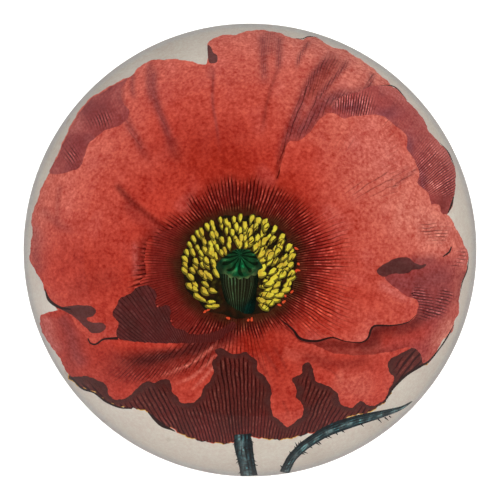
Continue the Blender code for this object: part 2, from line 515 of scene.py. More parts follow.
LOBE_STROKES = (
    (DEEP_RED, [(0.16, 0.36), (0.20, 0.24), (0.28, 0.13)], 0.060, 0.65, 0.0),
    (RED, [(0.30, 0.48), (0.24, 0.36), (0.32, 0.22)], 0.08, 0.5, 0.0),
    (PINK, [(0.40, 0.50), (0.58, 0.42), (0.66, 0.26)], 0.10, 0.35, 0.0),
    (PALE_SALMON, [(0.62, 0.18), (0.76, 0.13), (0.88, 0.03)], 0.09, 0.55, 0.0),
    (MAUVE, [(0.75, 0.365), (0.67, 0.308), (0.60, 0.242)], 0.010, 0.5, 0.26),
    (MAUVE, [(0.71, 0.38), (0.63, 0.31), (0.57, 0.26)], 0.009, 0.3, 0.2),
    (MAUVE, [(0.88, 0.05), (0.80, 0.085), (0.72, 0.10)], 0.045, 0.18, 0.30),
    (PINK, [(0.56, -0.14), (0.66, -0.20), (0.73, -0.24)], 0.020, 0.6, 0.0),
    (RED, [(0.42, -0.14), (0.52, -0.22), (0.62, -0.27)], 0.05, 0.5, 0.0),
    (RED, [(0.28, -0.36), (0.42, -0.34), (0.52, -0.33)], 0.03, 0.5, 0.1),
    (RED, [(0.62, 0.55), (0.68, 0.47), (0.69, 0.40)], 0.02, 0.5, 0.0),
)


def paint_lobe(sheet):
    """The right petal's near part, above its curled lip."""
    wash = petal_wash(sheet)
    wash.tint(SALMON, 0.35 * smooth(0.32, 0.6, sheet.far) + 0.1 * clouds(sheet.at, 0.2, 31))
    wash.dabs(RIGHT_DABS)
    wash.strokes(LOBE_STROKES)
    heart_shadow(sheet, wash)
    wash.rule(sheet.bent, RIGHT_LINES, doubled=(0.78,))
    wash.draw(0.44 * sheet.facing(-26, 36) * (1 - smooth(0.34, 0.66, sheet.far)))
    wash.draw(0.40 * sheet.facing(14, 34) * (1 - smooth(0.34, 0.62, sheet.far)))
    patches = smooth(-0.2, 0.6, clouds(sheet.at, 0.2, 33))
    wash.draw(0.20 * sheet.facing(36, 30) * smooth(0.5, 0.66, sheet.far) * patches)
    return wash


def paint_valley(sheet):
    """The right petal's far part: the near part's wash, with the shade under the lip."""
    wash = paint_lobe(sheet)
    below = smooth(0.0, -0.08, sheet.at[:, 1])
    hollow = smooth(0.50, 0.64, sheet.at[:, 0]) * below * (1 - smooth(0.88, 0.97, sheet.out))
    return wash.tint(VALLEY_RED, 0.85 * hollow).strokes(VALLEY_STROKES)


LIGHT_STREAKS = (
    [(-0.13, -0.40), (-0.26, -0.50), (-0.42, -0.565)],
    [(-0.11, -0.42), (-0.24, -0.55), (-0.36, -0.60)],
    [(-0.10, -0.44), (-0.20, -0.56), (-0.28, -0.64)],
)
FRONT_STROKES = (
    (DEEP_RED, [(-0.04, -0.34), (0.0, -0.42), (0.02, -0.50)], 0.09, 0.75, 0.25, (0.01, 0.4)),
    (RED, [(-0.30, -0.62), (-0.24, -0.56), (-0.18, -0.48)], 0.07, 0.5, 0.12),
    (DARK_RED, [(-0.10, -0.44), (-0.34, -0.53), (-0.56, -0.55), (-0.74, -0.51)], 0.045, 0.70, 0.30),
    (FOLD, [(-0.06, -0.34), (-0.20, -0.405), (-0.34, -0.455), (-0.46, -0.485), (-0.58, -0.485),
     (-0.68, -0.45)], 0.046, 1.0, 0.30, (0.01, 0.35)),
    (FOLD, [(-0.08, -0.36), (-0.20, -0.42), (-0.34, -0.47)], 0.040, 0.8, 0.3, (0.01, 0.4)),
    (MAUVE, [(-0.84, -0.28), (-0.79, -0.37), (-0.767, -0.46), (-0.71, -0.53)], 0.036, 0.60, 0.06,
     (0.1, 0.2)),
    (RED, [(-0.66, -0.405), (-0.50, -0.412), (-0.34, -0.418), (-0.26, -0.42)], 0.019, 0.95, 0.0,
     (0.05, 0.25)),
    (PINK, [(-0.90, -0.29), (-0.89, -0.39), (-0.84, -0.47)], 0.034, 0.65, 0.0, (0.1, 0.2)),
    (DARK_RED, [(0.20, -0.46), (0.40, -0.50), (0.60, -0.47)], 0.030, 0.6, 0.08),
    (DARK_RED, [(0.0, -0.44), (0.06, -0.52), (0.10, -0.60)], 0.007, 0.6, 0.0),
    (DARK_RED, [(0.06, -0.44), (0.11, -0.52), (0.14, -0.58)], 0.006, 0.7, 0.0),
    (DARK_RED, [(0.10, -0.42), (0.15, -0.50), (0.165, -0.56)], 0.006, 0.6, 0.0),
    (DARK_RED, [(0.30, -0.50), (0.38, -0.55), (0.42, -0.62)], 0.006, 0.5, 0.0),
    (DARK_RED, [(0.14, -0.66), (0.165, -0.71), (0.17, -0.75)], 0.006, 0.5, 0.0),
    (SALMON, [(0.14, -0.44), (0.24, -0.48)], 0.03, 0.3, 0.0),
    (SALMON, [(0.36, -0.56), (0.46, -0.60), (0.58, -0.60)], 0.06, 0.55, 0.0),
)


def paint_front(sheet):
    """The petal that hangs forward below the heart."""
    wash = Wash(sheet, RED)
    wash.tint(SALMON, 0.25 + 0.3 * clouds(sheet.at, 0.2, 41))
    wash.tint(DEEP_RED, 0.55 * sheet.facing(215, 35) + 0.3 * smooth(0, 1, clouds(sheet.at, 0.15, 43)))
    wash.dabs(FRONT_DABS).strokes(FRONT_STROKES)
    for path in LIGHT_STREAKS:
        wash.stroke(SALMON, path, 0.007, 0.8)
    heart_shadow(sheet, wash)
    return wash.draw(0.26 * sheet.facing(268, 45) * (1 - smooth(0.38, 0.56, sheet.far)))


def paint_throat(sheet):
    """The maroon hollow to the left of the heart, ruled all over."""
    wash = Wash(sheet, THROAT_RED, grain=0.7)
    wash.tint(MAUVE, 0.4 * smooth(0, 1, clouds(sheet.at, 0.15, 47)))
    heart_shadow(sheet, wash)
    border, _, _ = near(sheet.at, np.array(THROAT[3:8]))
    wash.tint(DARK_RED, 0.8 * (1 - smooth(0.0, 0.07, border + 0.02 * clouds(sheet.at, 0.08, 49))))
    wash.tint(RED, 0.6 * (1 - smooth(0.0, 0.03, border)))
    wash.rule(sheet.bent, 210)
    wash.ink *= 0.6
    return wash.draw(np.full(len(sheet.at), 0.26))


def paint_margin(colour, hub, lines, hatched):
    """A petal's edge folded over and ruled in a fan from the hub, most of all round the hatched places."""
    def paint(sheet):
        wash = Wash(sheet, colour, grain=0.8)
        rim = smooth(0.90, 0.97, sheet.out) * (sheet.at[:, 0] > 0)
        wash.tint(PINK, 0.16 + 0.36 * clouds(sheet.at, 0.14, 51) + 0.4 * rim)
        inside = 1 - smooth(0.88, 0.94, sheet.out)
        wash.tint(MAUVE, 0.55 * smooth(0, 1, clouds(sheet.at, 0.10, 52)) * inside)
        end = np.exp(-((sheet.at - (0.845, 0.20)) ** 2).sum(1) / 0.045**2)
        wash.tint(MAROON, 0.75 * end)
        ink = 0.10 + 0.05 * clouds(sheet.at, 0.1, 53)
        wash.dabs(MARGIN_DABS)
        for place, size, strength in hatched:
            ink += strength * np.exp(-((sheet.at - place) ** 2).sum(1) / size**2)
        wash.fan(hub, lines)
        return wash.draw(ink * (1 - end))
    return paint


def paint_underside(sheet):
    """The dark back of the petals, seen below their wavy lip, ribbed up from the stem."""
    wash = Wash(sheet, UNDERSIDE_RED, grain=0.6)
    low = smooth(-0.66, -0.82, sheet.at[:, 1])
    wash.tint(UNDERSIDE_CRIMSON, 0.5 * low + 0.25 * clouds(sheet.at, 0.12, 61))
    wash.tint(UNDERSIDE, 0.40 + 0.35 * clouds(sheet.at, 0.18, 63))
    lip, _, _ = near(sheet.at, np.array(FRONT))
    shade = 1 - smooth(0.006, 0.038, lip + 0.010 * clouds(sheet.at, 0.09, 67))
    wash.tint(SHADE, 0.85 * shade)
    wash.fan(RIB_HUB, RIB_LINES)
    return wash.draw(0.38 * (1 - shade))


def paint_blot(sheet):
    """A plain dark patch."""
    wash = Wash(sheet, BLOT_BROWN, grain=0.6)
    return wash.tint(SHADE, 0.5 * smooth(-0.5, 0.5, clouds(sheet.at, 0.12, 69)))


def paint_hollow(sheet):
    """The dark patch under the left petal's fold, ruled like the petals' backs."""
    wash = Wash(sheet, HOLLOW_BROWN, grain=0.6)
    wash.tint(SHADE, 0.5 * smooth(-0.5, 0.6, clouds(sheet.at, 0.12, 68)))
    wash.tint(FOLD, 0.9 * smooth(-0.40, -0.24, sheet.at[:, 0]))
    wash.fan(BLOT_HUB, 190)
    return wash.draw(np.full(len(sheet.at), 0.26))


def paint_heart(sheet):
    wash = Wash(sheet, BLACK, grain=0.5)
    wash.tint(UMBER, 0.6 * smooth(-0.3, 0.6, clouds(sheet.at, 0.05, 71)))
    patches = smooth(0, 1, clouds(sheet.at, 0.03, 72))
    return wash.tint(OLIVE, 0.35 * patches * (1 - smooth(0.5, 0.9, sheet.oval)))


def flat(colour, grain=0.4):
    return lambda sheet: Wash(sheet, colour, grain)


def paint_anther(sheet):
    wash = Wash(sheet, YELLOW, grain=0.5)
    wash.tint(GOLD, 0.6 * smooth(-0.2, 0.8, clouds(sheet.at, 0.09, 74)) + 0.3 * sheet.facing(180, 60))
    return wash.tint(OLIVE, 0.35 * smooth(0, 1, clouds(sheet.at, 0.02, 73)))


def paint_edge(sheet):
    """The thin line of colour that strays past the petals' backs."""
    wash = Wash(sheet, EDGE_YELLOW, grain=0.5)
    aside = smooth(0.25, 0.45, np.abs(sheet.at[:, 0]))
    wash.tint(ORANGE, smooth(-0.2, 0.3, clouds(sheet.at, 0.15, 75) - 1.2 * aside))
    return wash.tint(INK, smooth(0.1, 0.4, clouds(sheet.at, 0.08, 77)))


CAP_HUB = np.array([-0.044, -0.020])


def paint_cap(sheet):
    """The seed head's rayed lid: ridges run down from its peak to a pale scalloped rim."""
    off = sheet.at - CAP_HUB
    ray = np.arctan2(off[:, 1], off[:, 0])
    down = np.hypot(off[:, 0] / 0.100, off[:, 1] / 0.108)
    wash = Wash(sheet, GREEN, grain=0.5)
    wash.tint(CAP_GREEN, 0.85 * np.exp(-(np.hypot(off[:, 0], off[:, 1] + 0.06) / 0.035) ** 2))
    wash.tint(PALE_GREEN, 0.35 * smooth(0.45, 0.85, down) * smooth(-0.3, 0.6, clouds(sheet.at, 0.03, 78)))
    patches = smooth(0, 1, clouds(sheet.at, 0.04, 79))
    wash.tint(DARK_GREEN, 0.6 * (1 - smooth(0.1, 0.45, down)) + 0.45 * patches)
    wash.tint(PALE_GREEN, 0.7 * smooth(0.92, 1.0, down) * smooth(0.03, -0.02, off[:, 1]))
    wash.tint(DARK_GREEN, 0.92 * smooth(0.050, 0.085, np.abs(off[:, 0])))
    wash.rule(ray + 0.5 * (down - 0.5) * np.sin(ray * 2) + 0.06 * clouds(sheet.at, 0.05, 80), 14)
    return wash.draw(0.50 * (1 - smooth(0.80, 0.95, down)))


def paint_body(sheet):
    """The seed head's side: fine pale upright ribs that pull together at its foot."""
    sink = np.maximum(0, -0.16 - sheet.at[:, 1])
    x = (sheet.at[:, 0] + 0.051) / (0.080 - 0.35 * sink)
    wash = Wash(sheet, RIB_GREEN, grain=0.3)
    wash.tint(DARK_GREEN, 0.85 * smooth(0.60, 1.0, np.abs(x)) + 0.8 * smooth(-0.20, -0.27, sheet.at[:, 1]))
    wash.tint(FOOT_GREEN, 0.9 * np.exp(-(np.hypot(sheet.at[:, 0] - 0.0, sheet.at[:, 1] + 0.26) / 0.03) ** 2))
    wash.rule(np.arcsin(np.clip(x, -1, 1)) * 0.8, 42)
    return wash.draw(np.full(len(sheet.at), 0.84))


def paint_stem(path, width):
    def paint(sheet):
        dist, along, side = near(sheet.at, curve(path, step=0.03))
        across = np.clip(side * dist / (width / 2), -1, 1)
        wash = Wash(sheet, TEAL, grain=1.0)
        wash.tint(DARK_TEAL, smooth(-0.2, 0.8, across) * 0.92 + 0.8 * smooth(0.5, 1.0, -across))
        sheen = np.exp(-(((across + 0.20) / 0.26) ** 2)) * smooth(-0.3, 0.5, clouds(sheet.at, 0.05, 81))
        wash.tint(PALE_TEAL, 0.9 * sheen)
        wash.rule(across * 0.35 + 0.05 * along, 40)
        return wash.draw(0.30 + 0.2 * clouds(sheet.at, 0.06, 83))
    return paint


# ------------------------------------------------------------------ the drawing, back to front
# The points of these outlines, like those of the strokes above, were read off enlarged views of the
# photograph. Their units are the picture's, in which the dome's outline has radius 1.
BACK = [(-0.972, -0.03), (-0.960, 0.08), (-0.964, 0.145), (-0.947, 0.193), (-0.911, 0.295), (-0.882, 0.341),
        (-0.854, 0.409), (-0.814, 0.502), (-0.766, 0.594), (-0.709, 0.665), (-0.64, 0.709), (-0.582, 0.742),
        (-0.525, 0.768), (-0.495, 0.800), (-0.444, 0.834), (-0.365, 0.841), (-0.294, 0.838),
        (-0.208, 0.819), (-0.186, 0.835), (-0.187, 0.904), (-0.160, 0.934), (-0.122, 0.947),
        (-0.060, 0.951), (0.006, 0.969), (0.072, 0.968), (0.129, 0.957), (0.190, 0.934), (0.232, 0.929),
        (0.257, 0.940), (0.303, 0.934), (0.349, 0.900), (0.418, 0.882), (0.464, 0.854), (0.522, 0.817),
        (0.563, 0.782), (0.601, 0.749), (0.638, 0.710), (0.665, 0.680), (0.695, 0.642), (0.748, 0.582),
        (0.783, 0.515), (0.828, 0.465), (0.862, 0.425), (0.890, 0.358), (0.896, 0.300), (0.888, 0.233),
        (0.870, 0.155), (0.60, -0.20), (0.10, -0.35), (-0.30, -0.44), (-0.62, -0.44), (-0.79, -0.40),
        (-0.83, -0.29), (-0.862, -0.246), (-0.900, -0.192), (-0.922, -0.132), (-0.957, -0.075)]
LOBE = [(0.03, 0.10), (0.105, 0.20), (0.125, 0.27), (0.130, 0.34), (0.147, 0.41), (0.170, 0.474),
        (0.222, 0.485), (0.268, 0.525), (0.314, 0.583), (0.354, 0.604), (0.389, 0.594), (0.411, 0.577),
        (0.453, 0.589), (0.510, 0.594), (0.579, 0.594), (0.626, 0.560), (0.672, 0.525), (0.694, 0.491),
        (0.694, 0.444), (0.724, 0.399), (0.746, 0.341), (0.741, 0.295), (0.786, 0.249), (0.804, 0.191),
        (0.844, 0.162), (0.80, 0.06), (0.70, -0.02), (0.60, -0.06), (0.594, -0.117), (0.627, -0.157),
        (0.655, -0.177), (0.695, -0.205), (0.735, -0.221), (0.744, -0.246), (0.735, -0.277),
        (0.723, -0.302), (0.695, -0.318), (0.626, -0.331), (0.556, -0.331), (0.532, -0.349),
        (0.519, -0.387), (0.487, -0.406), (0.418, -0.400), (0.361, -0.384), (0.291, -0.400),
        (0.222, -0.389), (0.188, -0.348), (0.130, -0.302), (0.02, -0.15)]
VALLEY = [(0.10, -0.20), (0.50, 0.10), (0.80, 0.20), (0.845, 0.165), (0.879, 0.147), (0.914, 0.087),
          (0.942, 0.03), (0.962, -0.02), (0.954, -0.095), (0.936, -0.141), (0.925, -0.187), (0.919, -0.279),
          (0.902, -0.314), (0.89, -0.36), (0.844, -0.406), (0.821, -0.452), (0.790, -0.495),
          (0.764, -0.498), (0.747, -0.452), (0.706, -0.429), (0.60, -0.452), (0.476, -0.464),
          (0.361, -0.452), (0.291, -0.420), (0.20, -0.385)]
FRONT = [(-0.80, -0.278), (-0.845, -0.266), (-0.917, -0.285), (-0.926, -0.314), (-0.917, -0.360),
         (-0.882, -0.418), (-0.836, -0.482), (-0.824, -0.510), (-0.790, -0.556), (-0.721, -0.556),
         (-0.675, -0.573), (-0.634, -0.595), (-0.623, -0.637), (-0.594, -0.660), (-0.548, -0.653),
         (-0.521, -0.633), (-0.490, -0.602), (-0.456, -0.579), (-0.421, -0.585), (-0.387, -0.570),
         (-0.354, -0.575), (-0.347, -0.602), (-0.340, -0.631), (-0.316, -0.650), (-0.306, -0.673),
         (-0.248, -0.671), (-0.214, -0.637), (-0.206, -0.608), (-0.178, -0.578), (-0.160, -0.533),
         (-0.169, -0.498), (-0.145, -0.466), (-0.156, -0.441), (-0.122, -0.433), (-0.093, -0.452),
         (-0.060, -0.459), (-0.018, -0.450), (0.005, -0.470), (0.030, -0.487), (0.034, -0.533),
         (0.061, -0.552), (0.094, -0.612), (0.090, -0.671), (0.102, -0.728), (0.130, -0.750),
         (0.165, -0.780), (0.205, -0.752), (0.232, -0.728), (0.232, -0.683), (0.203, -0.648),
         (0.205, -0.614), (0.186, -0.568), (0.226, -0.546), (0.234, -0.504), (0.266, -0.500),
         (0.282, -0.546), (0.292, -0.579), (0.349, -0.602), (0.388, -0.636), (0.395, -0.671),
         (0.418, -0.689), (0.453, -0.694), (0.487, -0.666), (0.534, -0.688), (0.591, -0.662),
         (0.614, -0.614), (0.636, -0.567), (0.612, -0.533), (0.614, -0.486), (0.672, -0.452), (0.70, -0.42),
         (0.50, -0.35), (0.20, -0.25), (-0.10, -0.22), (-0.28, -0.36), (-0.45, -0.398), (-0.582, -0.392),
         (-0.655, -0.397), (-0.685, -0.413), (-0.712, -0.395), (-0.744, -0.360), (-0.767, -0.337)]
UNDER = [(-0.79, -0.54), (-0.773, -0.585), (-0.721, -0.614), (-0.687, -0.625), (-0.640, -0.660),
         (-0.582, -0.689), (-0.525, -0.694), (-0.456, -0.711), (-0.421, -0.740), (-0.387, -0.769),
         (-0.340, -0.786), (-0.295, -0.815), (-0.225, -0.838), (-0.145, -0.850), (-0.087, -0.850),
         (-0.007, -0.824), (0.072, -0.832), (0.130, -0.834), (0.188, -0.827), (0.245, -0.810),
         (0.303, -0.798), (0.349, -0.775), (0.407, -0.752), (0.453, -0.728), (0.522, -0.717),
         (0.556, -0.694), (0.597, -0.665), (0.637, -0.602), (0.694, -0.545), (0.752, -0.510),
         (0.786, -0.492), (0.76, -0.41), (0.10, -0.36), (-0.30, -0.42), (-0.60, -0.46)]
THROAT = [(-0.14, -0.02), (-0.28, 0.10), (-0.37, 0.085), (-0.444, 0.045), (-0.464, -0.014),
          (-0.459, -0.076), (-0.464, -0.116), (-0.484, -0.142), (-0.45, -0.20), (-0.36, -0.30),
          (-0.28, -0.37), (-0.10, -0.35), (-0.04, -0.28)]
HOLLOW = [(-0.582, -0.388), (-0.581, -0.320), (-0.608, -0.285), (-0.592, -0.252), (-0.571, -0.212),
          (-0.525, -0.191), (-0.508, -0.171), (-0.470, -0.156), (-0.432, -0.167), (-0.411, -0.200),
          (-0.418, -0.236), (-0.404, -0.251), (-0.362, -0.243), (-0.349, -0.268), (-0.353, -0.296),
          (-0.339, -0.336), (-0.287, -0.356), (-0.258, -0.371), (-0.179, -0.367), (-0.119, -0.343),
          (-0.079, -0.316), (-0.060, -0.336), (-0.099, -0.367), (-0.159, -0.404), (-0.300, -0.411),
          (-0.460, -0.408)]
LEFT_BLOT = [
    (-0.836, -0.256), (-0.779, -0.245), (-0.709, -0.245), (-0.680, -0.266), (-0.692, -0.290),
    (-0.720, -0.303), (-0.698, -0.320), (-0.652, -0.320), (-0.635, -0.337), (-0.652, -0.360),
    (-0.698, -0.366), (-0.724, -0.342), (-0.755, -0.314), (-0.79, -0.285),
]
EYE = [(0.560, -0.091), (0.578, -0.069), (0.611, -0.053), (0.638, -0.037), (0.675, -0.031), (0.701, -0.036),
       (0.723, -0.055), (0.751, -0.065), (0.775, -0.062), (0.771, -0.073), (0.746, -0.085), (0.715, -0.089),
       (0.695, -0.103), (0.634, -0.105), (0.594, -0.117), (0.570, -0.109)]
UPPER_LEFT_MARGIN = [
    (-0.884, 0.337), (-0.850, 0.409), (-0.810, 0.500), (-0.762, 0.591), (-0.706, 0.661), (-0.638, 0.704),
    (-0.580, 0.737), (-0.542, 0.755), (-0.570, 0.70), (-0.562, 0.655), (-0.533, 0.608), (-0.559, 0.559),
    (-0.640, 0.526), (-0.700, 0.480), (-0.722, 0.444), (-0.744, 0.376), (-0.79, 0.347),
]
UPPER_RIGHT_MARGIN = [
    (0.355, 0.60), (0.37, 0.645), (0.42, 0.683), (0.475, 0.695), (0.53, 0.722), (0.60, 0.724),
    (0.643, 0.714), (0.673, 0.686), (0.702, 0.649), (0.758, 0.588), (0.792, 0.521), (0.838, 0.471),
    (0.873, 0.431), (0.902, 0.363), (0.908, 0.304), (0.898, 0.236), (0.874, 0.165), (0.83, 0.16),
    (0.77, 0.24), (0.72, 0.31), (0.70, 0.40), (0.67, 0.50), (0.58, 0.57), (0.48, 0.57),
]
LEFT_HATCH = (((-0.655, 0.575), 0.045, 0.26), ((-0.79, 0.42), 0.040, 0.24))
RIGHT_HATCH = (((0.80, 0.36), 0.10, 0.36), ((0.86, 0.27), 0.06, 0.36), ((0.49, 0.64), 0.06, 0.34),
               ((0.40, 0.65), 0.05, 0.36))
MARGIN_DABS = (
    (PURPLE, (0.70, 0.46), 0.030, 0.060, 0.75),
    (PURPLE, (0.60, 0.60), 0.060, 0.030, 0.60),
    (PURPLE, (0.44, 0.63), 0.060, 0.025, 0.50),
    (PURPLE, (0.76, 0.30), 0.025, 0.070, 0.50),
)
NOTCH = [(-0.187, 0.904), (-0.172, 0.894), (-0.162, 0.871), (-0.145, 0.858), (-0.145, 0.831),
         (-0.162, 0.823), (-0.180, 0.828), (-0.186, 0.858)]
CAP = [(-0.152, -0.072), (-0.133, -0.045), (-0.100, -0.021), (-0.069, -0.001), (-0.038, 0.005),
       (-0.003, -0.001), (0.023, -0.021), (0.041, -0.049), (0.057, -0.077), (0.038, -0.090),
       (0.026, -0.112), (0.004, -0.112), (-0.010, -0.127), (-0.030, -0.121), (-0.048, -0.130),
       (-0.066, -0.119), (-0.088, -0.124), (-0.102, -0.108), (-0.134, -0.104), (-0.145, -0.092)]
BODY = [(-0.132, -0.094), (-0.128, -0.14), (-0.122, -0.18), (-0.110, -0.22), (-0.083, -0.248),
        (-0.044, -0.27), (-0.022, -0.281), (0.016, -0.276), (0.027, -0.22), (0.030, -0.18), (0.032, -0.10),
        (-0.05, -0.08)]
MAIN_STEM = [(-0.033, -0.812), (-0.030, -0.85), (-0.025, -0.885), (-0.012, -0.953), (-0.003, -1.0)]
MAIN_STEM_WIDTH = 0.076
SIDE_STEM = [
    (0.150, -0.985), (0.165, -0.953), (0.184, -0.918), (0.217, -0.883), (0.257, -0.850), (0.345, -0.797),
    (0.456, -0.757), (0.60, -0.718), (0.666, -0.697), (0.715, -0.668),
]
SIDE_STEM_WIDTH = 0.044


def hairs(path, width, sides, count, length):
    """Short stiff hairs that stand out from a stem and lean along it."""
    line = curve(path, step=0.01)
    out = normals(line)
    along = np.gradient(line, axis=0)
    along /= np.linalg.norm(along, axis=1, keepdims=True)
    made = []
    for side in sides:
        for at in rng.uniform(0.04, 0.92, count):
            i = int(at * (len(line) - 1))
            reach = length * rng.uniform(0.5, 1.1)
            lean = along[i] * rng.uniform(0.3, 0.9)
            root = line[i] + out[i] * side * width * 0.40
            tip = root + (out[i] * side + lean) * reach
            middle = (root + tip) / 2 + along[i] * reach * 0.06
            made.append(ribbon([root, middle, tip], (0.007, 0.005, 0.0015)))
    return made


def stamen_heads():
    """Rings of anthers round the seed head: each one's place, direction, length and width."""
    heads = []
    for ring, share in enumerate((0.44, 0.57, 0.70, 0.83, 0.955)):
        count = int(10 + 38 * share)
        for k in range(count):
            turn = math.tau * (k + 0.5 * (ring % 2) + rng.uniform(-0.36, 0.36)) / count
            far = min(share + rng.uniform(-0.055, 0.055), 0.97)
            off = np.array([math.cos(turn) * HEART_WIDE, math.sin(turn) * HEART_TALL]) * far
            place = HEART + off
            left = -0.185 if place[1] > -0.18 else -0.150
            if left < place[0] < 0.045 and place[1] < -0.05 - 0.6 * abs(place[0] + 0.046):
                continue
            right = smooth(-0.03, 0.08, off[0])
            lift = 1.5 - 0.5 * right
            away = off + (0, lift * abs(off[0])) + rng.uniform(-0.03, 0.03, 2)
            length = rng.uniform(0.036, 0.045) + 0.009 * right
            heads.append((place, away, length, length * (rng.uniform(0.52, 0.68) + 0.08 * right)))
    rng.shuffle(heads)
    return heads


def anther_shapes(heads, shift, longer, wider, uneven=0.10):
    return [drop(place + shift, away, length * longer, width * wider, uneven=uneven)
            for place, away, length, width in heads]


def anther_layers(lots=4):
    """The anthers, in lots that overlap. Each has a dark outline, an olive side and a yellow face."""
    heads = stamen_heads()
    layers = []
    for lot in range(lots):
        mine = heads[lot::lots]
        dark = anther_shapes(mine, (-0.0015, -0.002), 1.14, 1.22)
        side = anther_shapes(mine, (-0.001, -0.001), 0.98, 1.02, 0.16)
        face = anther_shapes(mine, (0.0015, 0.0035), 0.76, 0.74, 0.22)
        layers += [(dark, flat(BLACK)), (side, flat(OLIVE)), (face, paint_anther)]
    return layers


def pen_strokes(count=64):
    """Short black strokes between the anthers of the right half, leaning up and outwards."""
    made = []
    for turn in np.radians(rng.uniform(-62, 78, count)):
        edge = np.array([math.cos(turn) * HEART_WIDE, math.sin(turn) * HEART_TALL])
        place = HEART + edge * rng.uniform(0.5, 0.97)
        lean = math.radians(rng.uniform(35, 75))
        along = np.array([math.cos(lean), math.sin(lean)]) * rng.uniform(0.009, 0.018)
        bend = np.array([along[1], -along[0]]) * rng.uniform(-0.3, 0.3)
        made.append(ribbon([place - along, place + bend, place + along], (0.002, 0.0055, 0.002)))
    return made


def rim_specks():
    """Stray orange pollen round the lower half of the stamens."""
    made = []
    for turn in np.radians(rng.uniform(-130, 25, 14)):
        far = rng.uniform(1.02, 1.10)
        place = HEART + (math.cos(turn) * far * HEART_WIDE, math.sin(turn) * far * HEART_TALL)
        made.append(drop(place, rng.uniform(-1, 1, 2), rng.uniform(0.012, 0.024), 0.014, points=8))
    return made


PEN_LINES = (
    ([(0.130, -0.302), (0.188, -0.350), (0.222, -0.391), (0.291, -0.402), (0.361, -0.386), (0.418, -0.402),
      (0.487, -0.408), (0.521, -0.388), (0.534, -0.350), (0.556, -0.333), (0.626, -0.333), (0.695, -0.319),
      (0.735, -0.285)], (0.003, 0.013, 0.009, 0.003, 0.010, 0.006, 0.002)),
    ([(0.851, -0.029), (0.879, -0.009), (0.888, 0.015)], (0.004, 0.009, 0.005)),
    ([(-0.905, -0.172), (-0.886, -0.220), (-0.843, -0.252), (-0.79, -0.262)], (0.004, 0.014, 0.012, 0.006)),
    ([(0.90, -0.33), (0.86, -0.40), (0.82, -0.455), (0.786, -0.493), (0.752, -0.512), (0.69, -0.55),
      (0.637, -0.602), (0.60, -0.655)], (0.002, 0.007, 0.005, 0.008, 0.012, 0.012, 0.010, 0.006)),
    ([(-0.79, -0.56), (-0.74, -0.61), (-0.687, -0.63), (-0.64, -0.665), (-0.58, -0.693), (-0.52, -0.70)],
     (0.006, 0.010, 0.006, 0.010, 0.008, 0.003)),
    ([(-0.45, -0.715), (-0.42, -0.745), (-0.385, -0.775), (-0.35, -0.79), (-0.33, -0.80)],
     (0.004, 0.014, 0.018, 0.012, 0.004)),
    ([(-0.715, -0.389), (-0.704, -0.411), (-0.680, -0.416), (-0.658, -0.400), (-0.640, -0.392),
     (-0.582, -0.389)], (0.006, 0.008, 0.008, 0.009, 0.014)),
    ([(0.575, 0.724), (0.605, 0.727), (0.645, 0.715), (0.694, 0.660)], (0.001, 0.005, 0.004, 0.001)),
    ([(0.838, 0.472), (0.874, 0.432), (0.903, 0.366)], (0.001, 0.005, 0.001)),
    ([(0.898, 0.235), (0.889, 0.20), (0.875, 0.165)], (0.004, 0.010, 0.004)),
    ([(0.20, 0.934), (0.232, 0.931), (0.257, 0.942), (0.30, 0.937)], (0.001, 0.004, 0.004, 0.001)),
    ([(0.965, -0.03), (0.957, -0.09), (0.937, -0.14), (0.927, -0.19)], (0.001, 0.005, 0.005, 0.001)),
)


def drawing():
    """Every layer, back to front: its outlines and its paint."""
    around = np.linspace(0, math.tau, 420, endpoint=False)
    page = np.stack([np.cos(around), np.sin(around)], 1) * PAGE_EDGE
    heart = HEART + np.stack([np.cos(around[::8]) * HEART_WIDE, np.sin(around[::8]) * HEART_TALL], 1)
    heart += (heart - HEART) * (0.03 + 0.03 * np.sin(around[::8] * 11))[:, None]
    under = outline(UNDER, 0.0022, 0.05)
    wide = MAIN_STEM_WIDTH
    layers = [
        ([page], paint_paper),
        ([grown(under, 0.0032)], paint_edge),
        ([outline(BACK, 0.0016, 0.08)], paint_back),
        ([outline(UPPER_LEFT_MARGIN, 0.0015)], paint_margin(LEFT_MAUVE, (-0.2, -0.52), 560, LEFT_HATCH)),
        ([outline(UPPER_RIGHT_MARGIN, 0.0015)], paint_margin(RIGHT_MAUVE, (0.35, -0.05), 400, RIGHT_HATCH)),
        ([curve(NOTCH, closed=True)], paint_blot),
        ([outline(THROAT, 0.003)], paint_throat),
        ([under], paint_underside),
        ([ribbon(MAIN_STEM, (0.07, 1.1 * wide, wide, 0.94 * wide, wide))], paint_stem(MAIN_STEM, wide)),
        (hairs(MAIN_STEM, wide, (-1, 1), 10, 0.016), flat(DARK_TEAL)),
        ([outline(FRONT, 0.0012, 0.04)], paint_front),
        ([outline(HOLLOW, 0.0012, 0.05)], paint_hollow),
        ([outline(VALLEY, 0.0015)], paint_valley),
        ([outline(LOBE, 0.0012)], paint_lobe),
        ([outline(LEFT_BLOT, 0.001), outline(EYE, 0.001)], paint_blot),
        ([ribbon(path, widths) for path, widths in PEN_LINES], flat(INK)),
        (hairs(SIDE_STEM[:-1], SIDE_STEM_WIDTH, (1,), 17, 0.019), flat(DARK_TEAL)),
        (hairs(SIDE_STEM[:5], SIDE_STEM_WIDTH, (-1,), 7, 0.020), flat(DARK_TEAL)),
        ([ribbon(SIDE_STEM, (0.042, 0.040, 0.043, 0.046, 0.050, 0.046, 0.036, 0.022, 0.004))],
         paint_stem(SIDE_STEM, SIDE_STEM_WIDTH)),
        ([heart], paint_heart),
        (rim_specks(), flat(ORANGE)),
    ]
    layers += anther_layers()
    layers.append((pen_strokes(), flat(BLACK)))
    layers += [([curve(BODY, closed=True)], paint_body), ([curve(CAP, closed=True)], paint_cap)]
    return layers


